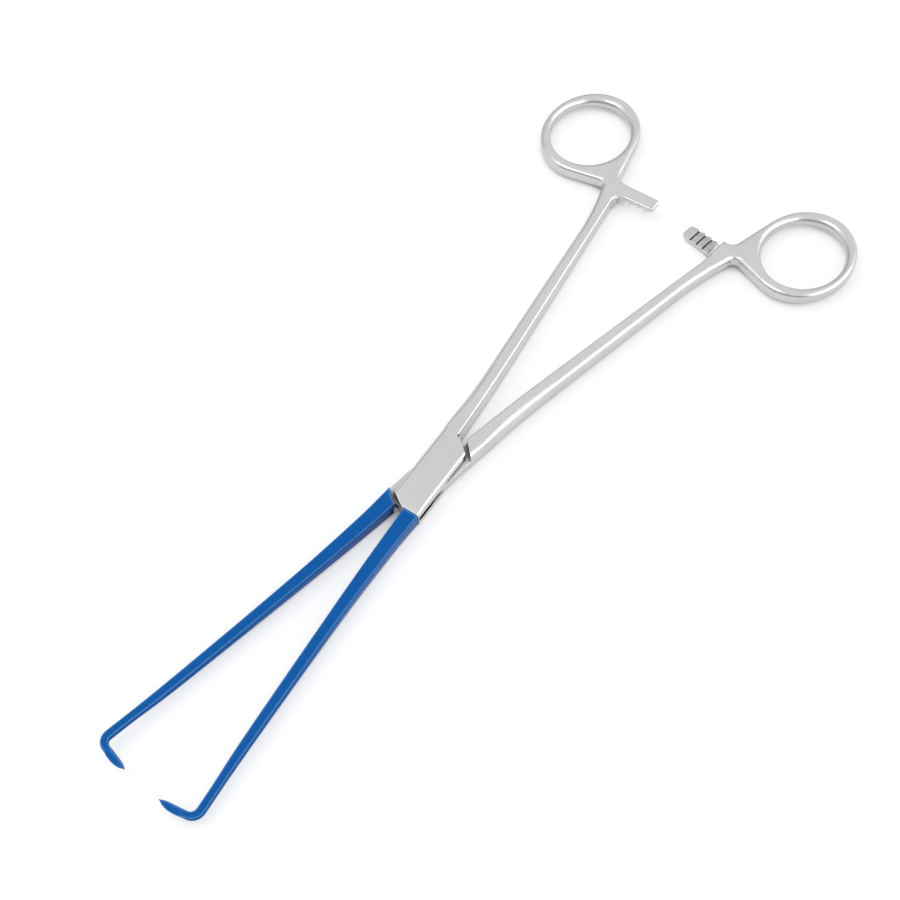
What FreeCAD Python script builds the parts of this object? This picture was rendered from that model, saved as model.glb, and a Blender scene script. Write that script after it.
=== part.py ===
import FreeCAD, Part
import math
import os
import Sketcher

# Single tooth tenaculum with insulated jaws.
# The origin is the pivot axis at the underside of the box joint, the jaws point along +X.
# Each half is drawn as it lies when the instrument is shut, with its handle on the -Y side
# and its jaw on the +Y side of the centre line. The male half is then mirrored across
# the centre line, and both halves are turned apart about the pivot.

DOC = FreeCAD.newDocument("tenaculum")
SHEET = DOC.addObject("Spreadsheet::Sheet", "Sizes")
SIZES = [
    ("half_spread", 4.9, "angle that each half is turned from shut, as shown, degrees"),
    ("extra_opening", 2.2, "further angle between the halves before the stop, degrees"),
    ("box_thickness", 5.8, "over both cheeks of the box joint"),
    ("box_half_width", 4.85, "pivot to either side of the box"),
    ("slot_height", 2.0, "between the cheeks"),
    ("slot_reach", 12.3, "pivot to each end wall of the slot"),
    ("running_gap", 0.05, "between tenon and cheek, and half the gap between ratchet arms"),
    ("end_gap", 0.05, "between the tenon's ends and the slot's end walls"),
    ("shoulder_gap", 0.25, "between a cheek's slanted end and the shoulder beside it when shut"),
    ("front_shoulder_gap", 0.5, "the same at the front, at the side of the box"),
    ("front_shoulder_angle", 33.8, "slant of the front shoulder, degrees"),
    ("rear_neck_offset", 0.3, "centre line to the inner side of the tenon's rear neck"),
    ("front_neck_offset", 0.75, "centre line to the inner side of the tenon's front neck"),
    ("neck_root", 3.5, "how far each neck runs on into the handle and the jaw"),
    ("centre_gap", 0.12, "from the centre line to each half's inner side when shut"),
    ("root_place", 9.0, "pivot to the handle stock's end, which the box then trims"),
    ("root_offset", 0.07, "centre line to the handle stock's inner side there"),
    ("cheek_rear_inner", 13.5, "pivot to the cheek's rear corner at the centre line"),
    ("cheek_rear_outer", 9.2, "pivot to the cheek's rear corner at the side"),
    ("cheek_front_outer", 9.8, "pivot to the cheek's front corner at the side"),
    ("shoulder_slant", 0.9, "how much further back the male shoulder starts at the side"),
    ("relief_radius", 0.45, "relief at the cheek's rear inner corner"),
    ("pin_radius", 1.6, "joint pin"),
    ("pin_gap", 0.03, "radial clearance of the pin in the tenon"),
    ("jaw_start", 12.6, "pivot to the front of the box, where the coating starts"),
    ("front_slope_start", 9.3, "pivot to where the box starts to fall to the jaw"),
    ("front_thickness", 5.1, "thickness at the front of the box"),
    ("outer_bend_place", 28.5, "where the shank's outer side starts to spread"),
    ("outer_bend_radius", 415.0, "of that gentle bend"),
    ("outer_flare_place", 97.5, "where the outer side flares to the ring"),
    ("outer_flare_offset", 10.29, "centre line to the outer side at the flare"),
    ("outer_flare_radius", 110.0, "of the flare"),
    ("neck_place", 110.4, "corner between shank and ring"),
    ("neck_offset", 13.27, "centre line to that corner"),
    ("neck_radius", 1.8, "of that corner"),
    ("inner_bend_place", 29.1, "where the shank's inner side starts to spread"),
    ("inner_bend_offset", 0.78, "centre line to the inner side there"),
    ("inner_bend_radius", 600.0, "of that gentle bend"),
    ("ring_place", 124.8, "pivot to the ring's centre along the instrument"),
    ("ring_offset", 26.4, "centre line to the ring's centre"),
    ("ring_length", 33.5, "ring, outside, along the instrument"),
    ("ring_width", 28.2, "ring, outside, across the instrument"),
    ("ring_end_band", 3.75, "from the finger hole to the ring's outside, at its ends"),
    ("ring_side_band", 2.7, "from the finger hole to the ring's outside, at its sides"),
    ("tail_thickness", 3.5, "handle thickness at the end of the ring"),
    ("handle_end", 141.5, "pivot to where that thickness is measured"),
    ("taper_gap", 0.4, "from the box to where the handle starts to thin"),
    ("taper_blend", 8.0, "length over which that taper sets in"),
    ("outer_round", 1.7, "rounding of the handle's outer edges beside the box"),
    ("shank_round", 1.4, "rounding of the shank's outer edges, past its bend"),
    ("ring_round", 1.15, "rounding of the ring's outer edges"),
    ("inner_round", 0.45, "rounding of the shank's inner edges and the ratchet arm"),
    ("cheek_round", 1.1, "rounding of the box's front side"),
    ("ring_crown", 0.05, "flat left between both roundings at the ring's sides"),
    ("arm_rear", 112.6, "pivot to the ratchet arm's rear side"),
    ("arm_front", 107.8, "pivot to the ratchet arm's front side at its root"),
    ("arm_taper", 0.5, "how much narrower the arm is at its tip"),
    ("arm_tip", 4.0, "how far the arm passes the centre line when shut"),
    ("arm_corner", 0.9, "corners of the arm's tip"),
    ("arm_root_offset", 7.95, "centre line to the arm's front root"),
    ("arm_root_radius", 2.6, "at the arm's front root"),
    ("arm_heel_offset", 10.06, "centre line to the arm's rear root"),
    ("arm_heel_radius", 3.0, "at the arm's rear root"),
    ("tooth_pitch", 2.25, "of the ratchet"),
    ("tooth_depth", 0.9, "of the ratchet"),
    ("tooth_rake", 0.12, "undercut of each tooth's steep face"),
    ("lap_depth_offset", 7.2, "centre line to the step at the arm's root"),
    ("coat_thickness", 0.35, "insulating coating"),
    ("bend_radius", 2.6, "bend of the hook, at its middle"),
    ("jaw_lean", 3.5, "angle of the jaw's front end to the centre line, degrees"),
    ("bend_place", 103.94, "pivot to the start of the bend"),
    ("bend_offset", 5.91, "centre line to the start of the bend"),
    ("female_hook_length", 7.6, "end of the bend to the point, female half"),
    ("male_hook_length", 7.0, "the same, male half"),
    ("hook_bow", 0.3, "how far the hook bows forward"),
    ("hook_side", 0.85, "mid plane to the hook's own plane, so that the points pass"),
    ("bare_point", 0.6, "uncoated length of the point"),
]
for row, (alias, number, meaning) in enumerate(SIZES, 1):
    SHEET.set("A%d" % row, meaning)
    SHEET.set("B%d" % row, str(number))
    SHEET.setAlias("B%d" % row, alias)
DOC.recompute()


class Size:
    """A length or angle, with its number now and the formula that ties it to the sheet."""

    def __init__(self, number, formula):
        self.number = number
        self.formula = formula

    def __add__(self, other):
        other = as_size(other)
        return Size(self.number + other.number, "(%s + %s)" % (self.formula, other.formula))

    def __sub__(self, other):
        other = as_size(other)
        return Size(self.number - other.number, "(%s - %s)" % (self.formula, other.formula))

    def __mul__(self, other):
        other = as_size(other)
        return Size(self.number * other.number, "(%s * %s)" % (self.formula, other.formula))

    def __truediv__(self, other):
        other = as_size(other)
        return Size(self.number / other.number, "(%s / %s)" % (self.formula, other.formula))

    def __neg__(self):
        return Size(-self.number, "(0 - %s)" % self.formula)


def as_size(value):
    """Gives a bare number the form of a size."""
    if isinstance(value, Size):
        return value
    return Size(float(value), repr(float(value)))


def size(alias):
    """The size with this name in the sheet."""
    return Size(float(SHEET.get(alias)), "Sizes.%s" % alias)


def sine(angle):
    """Sine of an angle in degrees."""
    return Size(math.sin(math.radians(angle.number)), "sin(%s)" % angle.formula)


def cosine(angle):
    """Cosine of an angle in degrees."""
    return Size(math.cos(math.radians(angle.number)), "cos(%s)" % angle.formula)


def tangent(angle):
    """Tangent of an angle in degrees."""
    return Size(math.tan(math.radians(angle.number)), "tan(%s)" % angle.formula)


def bind(thing, name, value):
    """Ties one property to a size."""
    thing.setExpression(name, as_size(value).formula)


class Corner:
    """A corner of an outline, with the radius in its plan and the edge rounding after it."""

    def __init__(self, along, across, radius=None, rounding=None):
        self.along = as_size(along)
        self.across = as_size(across)
        self.radius = radius
        self.rounding = rounding
        self.point = FreeCAD.Vector(self.along.number, self.across.number, 0)


class Oval:
    """The ring's outside, which an outline joins along two tangents."""

    def __init__(self, along, across, length, width, rounding):
        self.along = as_size(along)
        self.across = as_size(across)
        self.length = length
        self.width = width
        self.rounding = rounding

    @property
    def lies(self):
        """Whether the longer diameter is the one along the instrument."""
        return self.length.number >= self.width.number

    def curve(self):
        """The whole oval as a curve, which starts at an end of its longer diameter."""
        centre = FreeCAD.Vector(self.along.number, self.across.number, 0)
        if self.lies:
            return Part.Ellipse(centre, self.length.number / 2, self.width.number / 2)
        side = centre + FreeCAD.Vector(0, self.width.number / 2, 0)
        end = centre - FreeCAD.Vector(self.length.number / 2, 0, 0)
        return Part.Ellipse(side, end, centre)

    def tangent_angle(self, point, turn):
        """Where on the oval the tangent from a point touches it, as the oval's own angle."""
        u = (point.x - self.along.number) * 2 / self.length.number
        v = (point.y - self.across.number) * 2 / self.width.number
        return math.atan2(v, u) + turn * math.acos(1 / math.hypot(u, v))

    def at(self, angle):
        """The oval's point at one of its own angles."""
        return FreeCAD.Vector(
            self.along.number + self.length.number / 2 * math.cos(angle),
            self.across.number + self.width.number / 2 * math.sin(angle), 0)


def find_plane(body, role):
    """One of the body's own origin planes."""
    return [plane for plane in body.Origin.OriginFeatures if plane.Role == role][0]


def new_sketch(body, name, role, offset=None):
    """An empty sketch on an origin plane, or at an offset (base, angle) from it."""
    sketch = body.newObject("Sketcher::SketchObject", name)
    sketch.AttachmentSupport = [(find_plane(body, role), "")]
    sketch.MapMode = "FlatFace"
    if offset:
        base, angle = offset
        sketch.AttachmentOffset = FreeCAD.Placement(
            FreeCAD.Vector(base[0].number, base[1].number, base[2].number),
            FreeCAD.Rotation(FreeCAD.Vector(0, 1, 0), angle.number))
        bind(sketch, "AttachmentOffset.Base.x", base[0])
        bind(sketch, "AttachmentOffset.Base.y", base[1])
        bind(sketch, "AttachmentOffset.Base.z", base[2])
        bind(sketch, "AttachmentOffset.Rotation.Angle", angle)
    return sketch


def constrain(sketch, value, *parts):
    """Adds a constraint with a size that stays tied to the sheet."""
    index = sketch.addConstraint(Sketcher.Constraint(*parts, as_size(value).number))
    sketch.setExpression("Constraints[%d]" % index, as_size(value).formula)


def place_point(sketch, geometry, position, corner):
    """Holds a point of the sketch at a corner's place."""
    constrain(sketch, corner.along, "DistanceX", -1, 1, geometry, position)
    constrain(sketch, corner.across, "DistanceY", -1, 1, geometry, position)


def corner_arc(before, corner, after):
    """Start, centre and end of the arc that rounds a corner between its two sides."""
    back = (before - corner.point).normalize()
    ahead = (after - corner.point).normalize()
    half = math.acos(back.dot(ahead)) / 2
    reach = corner.radius.number / math.tan(half)
    middle = corner.point + (back + ahead).normalize() * (corner.radius.number / math.sin(half))
    return corner.point + back * reach, middle, corner.point + ahead * reach


def add_arc(sketch, start, centre, end):
    """Adds the short arc from start to end. Returns it, with its positions at start and end."""
    first = math.atan2(start.y - centre.y, start.x - centre.x)
    last = math.atan2(end.y - centre.y, end.x - centre.x)
    anticlockwise = (last - first) % (2 * math.pi) < math.pi
    circle = Part.Circle(centre, FreeCAD.Vector(0, 0, 1), (start - centre).Length)
    if anticlockwise:
        return sketch.addGeometry(Part.ArcOfCircle(circle, first, last), False), 1, 2
    return sketch.addGeometry(Part.ArcOfCircle(circle, last, first), False), 2, 1


def add_oval(sketch, oval, before, after):
    """Adds the ring's long arc between the tangents from two corners, clockwise round the ring."""
    enter = oval.tangent_angle(before, -1)
    leave = oval.tangent_angle(after, 1)
    quarter = 0 if oval.lies else math.pi / 2
    part = Part.ArcOfEllipse(oval.curve(), leave - quarter, enter + 2 * math.pi - quarter)
    arc = sketch.addGeometry(part, False)
    hold_oval(sketch, arc, oval)
    return arc, oval.at(enter), oval.at(leave)


def hold_oval(sketch, arc, oval):
    """Fixes an oval's centre and its two diameters."""
    first = sketch.GeometryCount
    sketch.exposeInternalGeometry(arc)
    longer, shorter = (oval.length, oval.width) if oval.lies else (oval.width, oval.length)
    constrain(sketch, longer, "Distance", first)
    constrain(sketch, shorter, "Distance", first + 1)
    sketch.addConstraint(Sketcher.Constraint("Horizontal" if oval.lies else "Vertical", first))
    constrain(sketch, oval.along, "DistanceX", -1, 1, arc, 3)
    constrain(sketch, oval.across, "DistanceY", -1, 1, arc, 3)


def side_points(corners, index):
    """The corners before and after one corner, looking past an oval beside it."""
    before = corners[index - 1]
    after = corners[(index + 1) % len(corners)]
    point = corners[index].point
    start = before.point if isinstance(before, Corner) else before.at(before.tangent_angle(point, 1))
    end = after.point if isinstance(after, Corner) else after.at(after.tangent_angle(point, -1))
    return start, end


def draw_outline(sketch, corners):
    """Draws a closed outline of straight sides and arcs, each corner held by the sheet.

    Returns each side's curve, with the edge roundings at its start and at its end.
    """
    pieces = []
    for index, corner in enumerate(corners):
        if isinstance(corner, Oval):
            before = corners[index - 1].point
            after = corners[(index + 1) % len(corners)].point
            arc, start, end = add_oval(sketch, corner, before, after)
            pieces.append((arc, 2, 1, start, end, corner))
        elif corner.radius is None:
            pieces.append((None, None, None, corner.point, corner.point, corner))
        else:
            before, after = side_points(corners, index)
            start, middle, end = corner_arc(before, corner, after)
            arc, first, last = add_arc(sketch, start, middle, end)
            pieces.append((arc, first, last, start, end, corner))
    lines = []
    for index, piece in enumerate(pieces):
        ahead = pieces[(index + 1) % len(pieces)]
        lines.append(sketch.addGeometry(Part.LineSegment(piece[4], ahead[3]), False))
    for index, (arc, first, last, start, end, corner) in enumerate(pieces):
        arriving = lines[index - 1]
        leaving = lines[index]
        if arc is None:
            sketch.addConstraint(Sketcher.Constraint("Coincident", arriving, 2, leaving, 1))
            place_point(sketch, leaving, 1, corner)
            continue
        sketch.addConstraint(Sketcher.Constraint("Tangent", arriving, 2, arc, first))
        sketch.addConstraint(Sketcher.Constraint("Tangent", arc, last, leaving, 1))
        if isinstance(corner, Corner):
            mark = sketch.addGeometry(Part.Point(corner.point), True)
            sketch.addConstraint(Sketcher.Constraint("PointOnObject", mark, 1, arriving))
            sketch.addConstraint(Sketcher.Constraint("PointOnObject", mark, 1, leaving))
            place_point(sketch, mark, 1, corner)
            constrain(sketch, corner.radius, "Radius", arc)
    if sketch.solve() != 0:
        raise RuntimeError("the outline %s can't be solved" % sketch.Name)
    roundings = []
    for index, piece in enumerate(pieces):
        before = corners[index - 1].rounding
        after = corners[index].rounding
        if piece[0] is not None:
            roundings.append((sketch.Geometry[piece[0]].toShape(), before, after))
        roundings.append((sketch.Geometry[lines[index]].toShape(), after, after))
    return roundings


def pad(body, sketch, name, thickness):
    """Pads a sketch by half the thickness to each side of its plane."""
    feature = body.newObject("PartDesign::Pad", name)
    feature.Profile = sketch
    feature.Midplane = True
    bind(feature, "Length", thickness)
    sketch.Visibility = False
    return feature


def pocket_through(body, sketch, name):
    """Cuts a sketch right through the body, to both sides of its plane."""
    feature = body.newObject("PartDesign::Pocket", name)
    feature.Profile = sketch
    feature.Midplane = True
    feature.Type = "ThroughAll"
    return feature


def plate(name, corners, thickness):
    """A flat solid with this outline, centred on the mid plane."""
    body = DOC.addObject("PartDesign::Body", name)
    sketch = new_sketch(body, name + "_outline", "XY_Plane")
    draw_outline(sketch, corners)
    pad(body, sketch, name + "_pad", thickness)
    return body


# What the two halves share: the handle's outline, from the box round the ring and back.
half_box = size("box_half_width")
box_half_thickness = size("box_thickness") / 2
inner_side = -size("centre_gap")
ring_along = -size("ring_place")
ring_across = -size("ring_offset")


def thin(body, name, place, radius, far, drop):
    """Thins both faces of a body evenly, from a place outwards, starting in a gentle curve."""
    stock = size("box_thickness")
    near = place - (far - place) / 8
    for side, label in ((1, "top"), (-1, "bottom")):
        sketch = new_sketch(body, "%s_%s_taper" % (name, label), "XZ_Plane")
        draw_outline(sketch, [
            Corner(near, box_half_thickness * side),
            Corner(place, box_half_thickness * side, radius),
            Corner(far, (box_half_thickness - drop) * side),
            Corner(far, stock * side),
            Corner(near, stock * side),
        ])
        pocket_through(body, sketch, "%s_%s_thinning" % (name, label))


# The finger hole's rounding takes up what the ring's outer rounding leaves.
hole_round = size("ring_side_band") - size("ring_round") - size("ring_crown")


def round_edges(name, body, roundings, hole):
    """Rounds the upper and lower edges along an outline, each side with its own radius."""
    rounds = []
    for number, edge in enumerate(body.Shape.Edges, 1):
        if any(abs(vertex.Z) < 1 for vertex in edge.Vertexes) or edge.BoundBox.ZLength > 1.2:
            continue
        middle = edge.valueAt((edge.FirstParameter + edge.LastParameter) / 2)
        flat = Part.Vertex(middle.x, middle.y, 0)
        if hole and hole.distToShape(flat)[0] < 0.01:
            rounds.append((number, hole_round.number, hole_round.number))
            continue
        for curve, before, after in roundings:
            if before and after and curve.distToShape(flat)[0] < 0.01:
                rounds.append((number, before.number, after.number))
                break
    rounded = DOC.addObject("Part::Fillet", name)
    rounded.Base = body
    rounded.Edges = rounds
    return rounded


def handle():
    """One handle as forged, before its root is trimmed: shank, ratchet arm and ring."""
    outer = size("outer_round")
    shank = size("shank_round")
    ring = size("ring_round")
    inner = size("inner_round")
    arm_front_tip = -(size("arm_front") + size("arm_taper"))
    body = DOC.addObject("PartDesign::Body", "handle_blank")
    outline = new_sketch(body, "handle_outline", "XY_Plane")
    roundings = draw_outline(outline, [
        Corner(-size("root_place"), -half_box, None, outer),
        Corner(-size("outer_bend_place"), -half_box, size("outer_bend_radius"), shank),
        Corner(-size("outer_flare_place"), -size("outer_flare_offset"), size("outer_flare_radius"), shank),
        Corner(-size("neck_place"), -size("neck_offset"), size("neck_radius"), ring),
        Oval(ring_along, ring_across, size("ring_length"), size("ring_width"), ring),
        Corner(-size("arm_rear"), -size("arm_heel_offset"), size("arm_heel_radius"), inner),
        Corner(-size("arm_rear"), size("arm_tip"), size("arm_corner"), inner),
        Corner(arm_front_tip, size("arm_tip"), size("arm_corner"), inner),
        Corner(-size("arm_front"), -size("arm_root_offset"), size("arm_root_radius"), inner),
        Corner(-size("inner_bend_place"), -size("inner_bend_offset"), size("inner_bend_radius"), inner),
        Corner(-size("root_place"), size("root_offset")),
    ])
    pad(body, outline, "handle_pad", size("box_thickness"))
    taper_place = size("cheek_rear_inner") + size("taper_gap") + size("taper_blend") / 2
    slope = (size("box_thickness") - size("tail_thickness")) / 2 / (size("handle_end") - taper_place)
    past_ring = size("handle_end") + 10
    thin(body, "handle", -taper_place, size("taper_blend") / slope, -past_ring,
         slope * (past_ring - taper_place))
    hole_sketch = new_sketch(body, "hole_outline", "XY_Plane")
    hole_length = size("ring_length") - size("ring_end_band") * 2
    hole_width = size("ring_width") - size("ring_side_band") * 2
    oval = Oval(ring_along, ring_across, hole_length, hole_width, None)
    ellipse = oval.curve()
    hold_oval(hole_sketch, hole_sketch.addGeometry(ellipse, False), oval)
    pocket_through(body, hole_sketch, "finger_hole")
    DOC.recompute()
    return round_edges("handle_rounded", body, roundings, ellipse.toShape())


def box_block():
    """The box of the female half as forged: both cheeks in one piece."""
    body = DOC.addObject("PartDesign::Body", "box_blank")
    outline = new_sketch(body, "box_outline", "XY_Plane")
    roundings = draw_outline(outline, [
        Corner(-size("cheek_rear_inner"), inner_side),
        Corner(-size("cheek_rear_inner"), -half_box, None, size("outer_round")),
        Corner(size("jaw_start"), -half_box),
        Corner(size("jaw_start"), half_box, None, size("cheek_round")),
        Corner(-size("cheek_rear_outer"), half_box),
    ])
    pad(body, outline, "box_pad", size("box_thickness"))
    drop = (size("box_thickness") - size("front_thickness")) / 2
    run = size("jaw_start") - size("front_slope_start")
    past = run * 2 / 3
    thin(body, "box", size("front_slope_start") + past, run * run / drop / 2,
         size("jaw_start") + past, drop * 8 / 3)
    DOC.recompute()
    return round_edges("box_rounded", body, roundings, None)


# Jaw stations from the box to the bend: place, inner side, outer side, half thickness, corner.
JAW_STATIONS = [
    (10.0, 0.12, 4.80, 2.52, 0.55),
    (15.0, 0.18, 4.50, 2.32, 0.56),
    (20.0, 0.28, 4.33, 2.15, 0.60),
    (30.0, 0.58, 4.30, 1.99, 0.70),
    (40.0, 0.98, 4.42, 1.86, 0.85),
    (50.0, 1.44, 4.75, 1.75, 1.05),
    (60.0, 1.92, 5.15, 1.65, 1.25),
    (70.0, 2.45, 5.56, 1.55, 1.32),
    (80.0, 3.02, 5.98, 1.46, 1.35),
    (89.0, 3.62, 6.36, 1.34, 1.25),
    (97.0, 4.28, 6.70, 1.22, 1.14),
]
# Hook stations round the bend: turn in degrees, width, thickness, share of the sideways step.
BEND_STATIONS = [
    (0.0, 2.40, 2.40, 0.60),
    (15.0, 2.37, 2.37, 0.67),
    (30.0, 2.30, 2.30, 0.74),
    (45.0, 2.22, 2.22, 0.81),
    (60.0, 2.13, 2.11, 0.88),
    (75.0, 2.03, 2.00, 0.94),
    (90.0, 1.94, 1.90, 0.98),
]
# Hook stations down to the point: share of its length, width, thickness, share of the bow,
# share of the coating's thickness.
CLAW_STATIONS = [
    (0.30, 1.76, 1.56, 0.80, 1.00),
    (0.58, 1.46, 1.22, 1.00, 0.85),
    (0.80, 0.98, 0.86, 0.60, 0.70),
    (0.94, 0.46, 0.44, 0.20, 0.30),
    (1.00, 0.20, 0.20, 0.00, 0.00),
]


def section(body, name, place, across, rise, angle, width, thickness, corner):
    """A cross-section of the jaw: a rectangle with rounded corners, square to the jaw."""
    sketch = new_sketch(body, name, "YZ_Plane", ((across, rise, place), angle))
    half_width = width / 2
    half_height = thickness / 2
    draw_outline(sketch, [
        Corner(-half_width, -half_height, corner),
        Corner(half_width, -half_height, corner),
        Corner(half_width, half_height, corner),
        Corner(-half_width, half_height, corner),
    ])
    sketch.Visibility = False
    return sketch


def loft(body, name, sections):
    """A solid with straight sides from each section to the next."""
    feature = body.newObject("PartDesign::AdditiveLoft", name)
    feature.Profile = sections[0]
    feature.Sections = sections[1:]
    feature.Ruled = True
    return feature


def slim(width, inset):
    """A width with the coating's thickness taken off both sides."""
    return as_size(width) - as_size(inset) * 2


def jaw_bar(name, inset, step):
    """The jaw from the box to the bend, less an inset all round, stepping aside at its end."""
    body = DOC.addObject("PartDesign::Body", name)
    straight = as_size(0)
    sections = []
    for number, (place, inner, outer, half_height, corner) in enumerate(JAW_STATIONS):
        aside = step * (0.4 if number == len(JAW_STATIONS) - 1 else 0)
        sections.append(section(
            body, "%s_section_%d" % (name, number), as_size(place), as_size((inner + outer) / 2), aside,
            straight, slim(outer - inner, inset), slim(2 * half_height, inset), as_size(corner) - inset))
    start = BEND_STATIONS[0]
    sections.append(section(
        body, name + "_section_end", size("bend_place"), size("bend_offset"), step * start[3],
        size("jaw_lean"), slim(start[1], inset), slim(start[2], inset), slim(start[1], inset) * 0.46))
    loft(body, name + "_loft", sections)
    return body


def jaw_hook(name, inset, step, last, length):
    """The bend and the claw, less an inset all round, up to the given claw station."""
    body = DOC.addObject("PartDesign::Body", name)
    radius = size("bend_radius")
    lean = size("jaw_lean")
    centre_along = size("bend_place") + radius * sine(lean)
    centre_across = size("bend_offset") - radius * cosine(lean)
    sections = []
    for number, (turn, width, thickness, share) in enumerate(BEND_STATIONS):
        heading = lean - turn
        sections.append(section(
            body, "%s_bend_%d" % (name, number), centre_along - radius * sine(heading),
            centre_across + radius * cosine(heading), step * share, heading,
            slim(width, inset), slim(thickness, inset), slim(thickness, inset) * 0.46))
    heading = lean - 90
    end_along = centre_along - radius * sine(heading)
    end_across = centre_across + radius * cosine(heading)
    for number, (share, width, thickness, bow, coat) in enumerate(CLAW_STATIONS[:last]):
        run = length * share
        side = size("hook_bow") * bow
        skin = inset * coat
        sections.append(section(
            body, "%s_claw_%d" % (name, number), end_along + run * cosine(heading) - side * sine(heading),
            end_across + run * sine(heading) + side * cosine(heading), step, heading,
            slim(width, skin), slim(thickness, skin), slim(thickness, skin) * 0.46))
    loft(body, name + "_loft", sections)
    return body


def fuse(name, shapes):
    """Joins solids into one."""
    joined = DOC.addObject("Part::MultiFuse", name)
    joined.Shapes = shapes
    return joined


def cut(name, base, tool):
    """Takes one solid away from another."""
    result = DOC.addObject("Part::Cut", name)
    result.Base = base
    result.Tool = tool
    return result


def common(name, base, tool):
    """Keeps what two solids share."""
    result = DOC.addObject("Part::Common", name)
    result.Base = base
    result.Tool = tool
    return result


def cylinder(name, radius, height, along=0, across=0):
    """An upright cylinder, centred on the mid plane."""
    rod = DOC.addObject("Part::Cylinder", name)
    bind(rod, "Radius", radius)
    bind(rod, "Height", height)
    bind(rod, "Placement.Base.x", along)
    bind(rod, "Placement.Base.y", across)
    bind(rod, "Placement.Base.z", -(as_size(height) / 2))
    return rod


def ratchet_cutter(name, facing):
    """What is cut from the ratchet arm: half its thickness, down to the saw teeth.

    facing is 1 where the teeth face up and -1 where they face down. Each steep face looks
    towards the arm's own root, so that the two arms hold each other shut.
    """
    body = DOC.addObject("PartDesign::Body", name)
    middle = -(size("arm_rear") + size("arm_front")) / 2
    across_arm = size("arm_rear") - size("arm_front") + 14
    sketch = new_sketch(body, name + "_teeth", "YZ_Plane", ((as_size(0), as_size(0), middle), as_size(0)))
    crest = -(size("running_gap") * facing)
    valley = crest - size("tooth_depth") * facing
    above = size("box_thickness") * facing
    root = -size("lap_depth_offset")
    past_tip = size("arm_tip") + 1
    corners = [Corner(past_tip, above), Corner(past_tip, valley)]
    face = size("tooth_pitch") / 2
    while face.number - size("tooth_rake").number > root.number:
        corners.append(Corner(face, crest))
        corners.append(Corner(face + size("tooth_rake"), valley))
        face = face - size("tooth_pitch")
    corners.append(Corner(root, valley))
    corners.append(Corner(root, crest))
    corners.append(Corner(root - size("tooth_depth"), above))
    draw_outline(sketch, corners)
    pad(body, sketch, name + "_pad", across_arm)
    return body


def slanted_box(name, along, across, angle, towards_box):
    """A large block with one face through a point, turned by an angle, to trim a solid."""
    block = DOC.addObject("Part::Box", name)
    reach = size("box_half_width") * 8
    bind(block, "Length", reach)
    bind(block, "Width", reach)
    bind(block, "Height", reach)
    turn = as_size(angle)
    back = reach if towards_box else as_size(0)
    bind(block, "Placement.Base.x", along - back * cosine(turn) + reach / 2 * sine(turn))
    bind(block, "Placement.Base.y", across - back * sine(turn) - reach / 2 * cosine(turn))
    bind(block, "Placement.Base.z", -(reach / 2))
    block.Placement = FreeCAD.Placement(FreeCAD.Vector(), FreeCAD.Rotation(FreeCAD.Vector(0, 0, 1), 1.0))
    bind(block, "Placement.Rotation.Angle", turn)
    return block


def point_zone(name, length):
    """Where the point is bare: a block past the end of the coating."""
    heading = size("jaw_lean") - 90
    radius = size("bend_radius")
    run = length - size("bare_point")
    along = (size("bend_place") + radius * sine(size("jaw_lean")) - radius * sine(heading)
             + run * cosine(heading))
    across = (size("bend_offset") - radius * cosine(size("jaw_lean")) + radius * cosine(heading)
              + run * sine(heading))
    return slanted_box(name, along, across, heading, False)


def mirrored(name, source, normal):
    """The same solid on the other side of a plane through the pivot."""
    copy = DOC.addObject("Part::Mirroring", name)
    copy.Source = source
    copy.Normal = normal
    return copy


def turn_open(thing, side):
    """Turns one half about the pivot to the opening shown, and lifts it onto its underside."""
    thing.Placement = FreeCAD.Placement(FreeCAD.Vector(), FreeCAD.Rotation(FreeCAD.Vector(0, 0, 1), 1.0))
    bind(thing, "Placement.Rotation.Angle", size("half_spread") * side)
    bind(thing, "Placement.Base.z", box_half_thickness)


# One handle and one jaw serve both halves. The jaw's hook lies below the mid plane here,
# and the male half takes the jaw upside down, so that the points pass each other.
handle_rounded = handle()
uncoated = as_size(0)
coat = size("coat_thickness")
below = -size("hook_side")
skin_bar = jaw_bar("skin_bar", uncoated, below)
core_bar = jaw_bar("core_bar", coat, below)


def coated_jaw(label, length):
    """One jaw's steel with its bare point, and the coating round it."""
    skin = fuse(label + "_skin", [skin_bar, jaw_hook(label + "_skin_hook", uncoated, below, 5, length)])
    core = fuse(label + "_core", [core_bar, jaw_hook(label + "_core_hook", coat, below, 4, length)])
    bare_tip = common(label + "_bare_tip", skin, point_zone(label + "_point_zone", length))
    steel = fuse(label + "_steel", [core, bare_tip])
    return steel, cut(label + "_shell", skin, steel)


female_steel, female_shell = coated_jaw("female", size("female_hook_length"))
male_steel, male_shell = coated_jaw("male", size("male_hook_length"))
upwards = FreeCAD.Vector(0, 0, 1)
across_the_line = FreeCAD.Vector(0, 1, 0)

# The female half: handle and box in one forging, slotted for the tenon.
past_side = size("box_half_width") + 2
past_end = size("cheek_rear_inner") + 1
front_trim = slanted_box("front_trim", size("jaw_start"), as_size(0), 0, True)
root_trim = slanted_box("root_trim", -size("cheek_rear_inner"), as_size(0), 0, False)
cheek_trim = plate("cheek_trim", [
    Corner(size("jaw_start"), -(size("centre_gap") * 3)),
    Corner(size("cheek_front_outer"), -half_box),
    Corner(size("cheek_front_outer"), -past_side),
    Corner(past_end, -past_side),
    Corner(past_end, -(size("centre_gap") * 3)),
], size("box_thickness") * 2)
slot = plate("slot", [
    Corner(-size("slot_reach"), -past_side),
    Corner(-size("slot_reach"), inner_side),
    Corner(-past_end, inner_side),
    Corner(-past_end, past_side),
    Corner(size("slot_reach"), past_side),
    Corner(size("slot_reach"), 0),
    Corner(past_end, 0),
    Corner(past_end, -past_side),
], size("slot_height"))
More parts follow.
